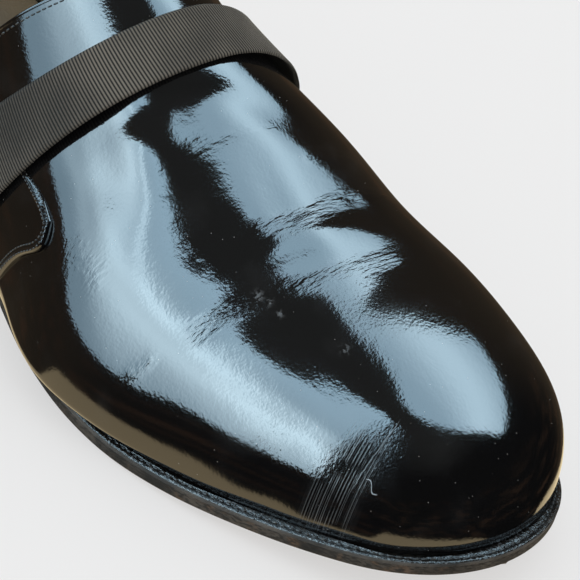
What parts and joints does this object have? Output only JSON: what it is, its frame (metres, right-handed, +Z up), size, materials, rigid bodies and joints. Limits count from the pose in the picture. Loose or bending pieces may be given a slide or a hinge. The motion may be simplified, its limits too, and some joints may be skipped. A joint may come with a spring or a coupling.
{
  "type": "tuxedo loafer",
  "caption": "Right-foot evening slip-on shoe in black patent leather with a ribbed ribbon band across the vamp, rounded quarter seams, welted leather sole and low stacked heel",
  "frame": {"origin": "on the floor under the middle of the shoe's plan box, where the heel and the tread rest", "axes": "+X points to the toe, +Y to the inner side of the foot, +Z up"},
  "size_m": [0.2992, 0.1144, 0.0904],
  "materials": {
    "sole_leather": "worn leather sole, dark edge",
    "welt_leather": "black, semi-gloss, stitched",
    "heel_leather": "stacked leather, dark edge dressing",
    "heel_rubber": "matte black rubber",
    "lining_leather": "plain tan lining leather",
    "patent_leather": "black patent, mirror gloss",
    "quarter_patent": "black patent, mirror gloss",
    "grosgrain": "black ribbed woven ribbon, matte"
  },
  "bodies": {
    "root": {"outsole": "sole_leather", "welt": "welt_leather", "heel": "heel_leather", "heel_top_piece": "heel_rubber", "insole": "lining_leather", "upper": "patent_leather", "quarter_lateral": "quarter_patent", "quarter_medial": "quarter_patent", "ribbon": "grosgrain"}
  },
  "joints": []
}
